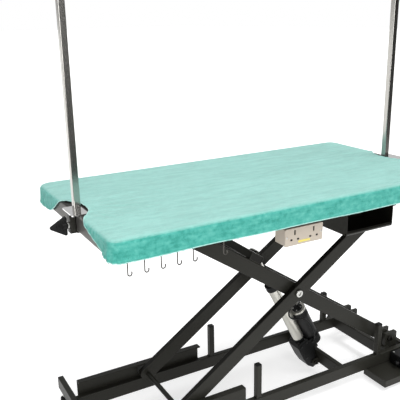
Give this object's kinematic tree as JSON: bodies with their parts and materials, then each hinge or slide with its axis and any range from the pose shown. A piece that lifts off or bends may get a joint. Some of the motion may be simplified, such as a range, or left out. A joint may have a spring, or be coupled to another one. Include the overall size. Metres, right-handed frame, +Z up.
{
  "type": "electric lift grooming and examination table",
  "caption": "Electric scissor-lift grooming and examination table with a towelling-covered top, side posts, overhead bar, hooks, sockets and an open instrument tray.",
  "frame": {"origin": "on the floor under the middle of the base", "axes": "+Z up; +X along the table's length, to the right of a user at the tray side; +Y away from that user"},
  "size_m": [1.3728, 0.65, 1.754],
  "materials": {
    "black_steel": "satin black paint",
    "rubber": "matte",
    "zinc": "zinc plated",
    "stainless": "brushed",
    "hook_wire": "dull drawn wire",
    "chrome_plate": "polished",
    "black_plastic": "satin",
    "nylon": "satin",
    "light_alloy": "painted light grey",
    "dark_alloy": "satin",
    "ribbed_aluminium": "matte, finely ribbed",
    "plywood": "dark film face",
    "towelling": "terry nap",
    "cream_plastic": "semi-gloss"
  },
  "bodies": {
    "base": {"base_rails": "black_steel", "end_crossbars": "black_steel", "inner_crossbars": "black_steel", "levelling_feet": "rubber", "foot_studs": "zinc", "lower_channels": "black_steel", "rest_pegs": "black_steel", "tube_caps": "black_plastic", "pivot_brackets": "black_steel", "base_pivot_bolts": "black_steel", "outrigger_plate": "black_steel", "control_box": "black_plastic", "actuator_base_clevis": "black_steel"},
    "inner_frame": {"inner_arm_near": "black_steel", "inner_arm_far": "black_steel", "push_beam": "black_steel", "actuator_lugs": "black_steel", "centre_pivot_bolts": "zinc", "upper_axle_stubs": "zinc"},
    "outer_frame": {"outer_arm_near": "black_steel", "outer_arm_far": "black_steel", "lower_roller_axle": "black_steel", "outer_cross_tube": "black_steel"},
    "platform": {"side_members": "black_steel", "upper_channels": "black_steel", "underframe_tubes": "black_steel", "top_pivot_bolts": "zinc", "edge_trim": "ribbed_aluminium", "table_board": "plywood", "table_cover": "towelling", "instrument_tray": "black_steel", "tray_screws": "zinc", "socket_box": "cream_plastic", "socket_plate": "cream_plastic", "edge_hooks": "hook_wire", "clamp_brackets": "black_steel", "clamp_jaws": "chrome_plate", "post_left": "stainless", "post_right": "stainless", "post_caps": "black_plastic"},
    "actuator_body": {"actuator_tube": "light_alloy", "actuator_end_cap": "black_plastic", "gearbox_housing": "black_plastic", "motor_can": "dark_alloy", "motor_end_ring": "light_alloy", "motor_lead": "black_plastic"},
    "push_rod": {"actuator_rod": "stainless"},
    "lower_wheel_near": {"lower_roller_near": "nylon"},
    "lower_wheel_far": {"lower_roller_far": "nylon"},
    "upper_wheel_near": {"upper_roller_near": "nylon"},
    "upper_wheel_far": {"upper_roller_far": "nylon"},
    "clamp_left": {"clamp_screw_left": "zinc", "clamp_knob_left": "black_plastic"},
    "clamp_right": {"clamp_screw_right": "zinc", "clamp_knob_right": "black_plastic"},
    "overhead_frame": {"overhead_bar": "stainless", "bar_sleeves": "black_steel", "bar_eyes": "stainless"},
    "bar_lock_left": {"bar_knob_left": "black_plastic"},
    "bar_lock_right": {"bar_knob_right": "black_plastic"}
  },
  "joints": [
    {"name": "lift", "type": "hinge", "parent": "base", "child": "inner_frame", "pos_m": [0.546, 0, 0.116], "axis": [0, 1, 0], "range_deg": [-27.1, 13]},
    {"name": "scissor", "type": "hinge", "parent": "inner_frame", "child": "outer_frame", "pos_m": [0.09779, 0, 0.41718], "axis": [0, 1, 0], "range_deg": [-26.2, 54.4]},
    {"name": "top_level", "type": "hinge", "parent": "outer_frame", "child": "platform", "pos_m": [0.546, 0, 0.71837], "axis": [0, 1, 0], "range_deg": [-27.2, 13.1]},
    {"name": "actuator_swing", "type": "hinge", "parent": "base", "child": "actuator_body", "pos_m": [0.268, 0, 0.05], "axis": [0, 1, 0], "range_deg": [-33.36, 16.16]},
    {"name": "rod_extend", "type": "slide", "parent": "actuator_body", "child": "push_rod", "axis": [-0.4709, 0, 0.8822], "range_m": [-0.124, 0.06]},
    {"name": "lower_near_roll", "type": "hinge", "parent": "outer_frame", "child": "lower_wheel_near", "pos_m": [-0.35041, 0, 0.116], "axis": [0, 1, 0], "continuous": true},
    {"name": "lower_far_roll", "type": "hinge", "parent": "outer_frame", "child": "lower_wheel_far", "pos_m": [-0.35041, 0, 0.116], "axis": [0, 1, 0], "continuous": true},
    {"name": "upper_near_roll", "type": "hinge", "parent": "inner_frame", "child": "upper_wheel_near", "pos_m": [-0.35041, 0, 0.71837], "axis": [0, 1, 0], "continuous": true},
    {"name": "upper_far_roll", "type": "hinge", "parent": "inner_frame", "child": "upper_wheel_far", "pos_m": [-0.35041, 0, 0.71837], "axis": [0, 1, 0], "continuous": true},
    {"name": "clamp_left_turn", "type": "hinge", "parent": "platform", "child": "clamp_left", "pos_m": [-0.65, -0.04, 0.762], "axis": [1, 0, 0], "continuous": true},
    {"name": "clamp_right_turn", "type": "hinge", "parent": "platform", "child": "clamp_right", "pos_m": [0.65, -0.04, 0.762], "axis": [1, 0, 0], "continuous": true},
    {"name": "bar_height", "type": "slide", "parent": "platform", "child": "overhead_frame", "axis": [0, 0, 1], "range_m": [-0.65, 0.028]},
    {"name": "bar_left_lock_turn", "type": "hinge", "parent": "overhead_frame", "child": "bar_lock_left", "pos_m": [-0.62, 0, 1.69], "axis": [1, 0, 0], "continuous": true},
    {"name": "bar_right_lock_turn", "type": "hinge", "parent": "overhead_frame", "child": "bar_lock_right", "pos_m": [0.62, 0, 1.69], "axis": [1, 0, 0], "continuous": true}
  ],
  "couplings": [
    {"joint": "scissor", "follows": "lift", "ratio": -2},
    {"joint": "top_level", "follows": "lift", "ratio": 1},
    {"joint": "actuator_swing", "follows": "lift", "ratio": 1.22},
    {"joint": "rod_extend", "follows": "lift", "m_per_rad": 0.26}
  ]
}
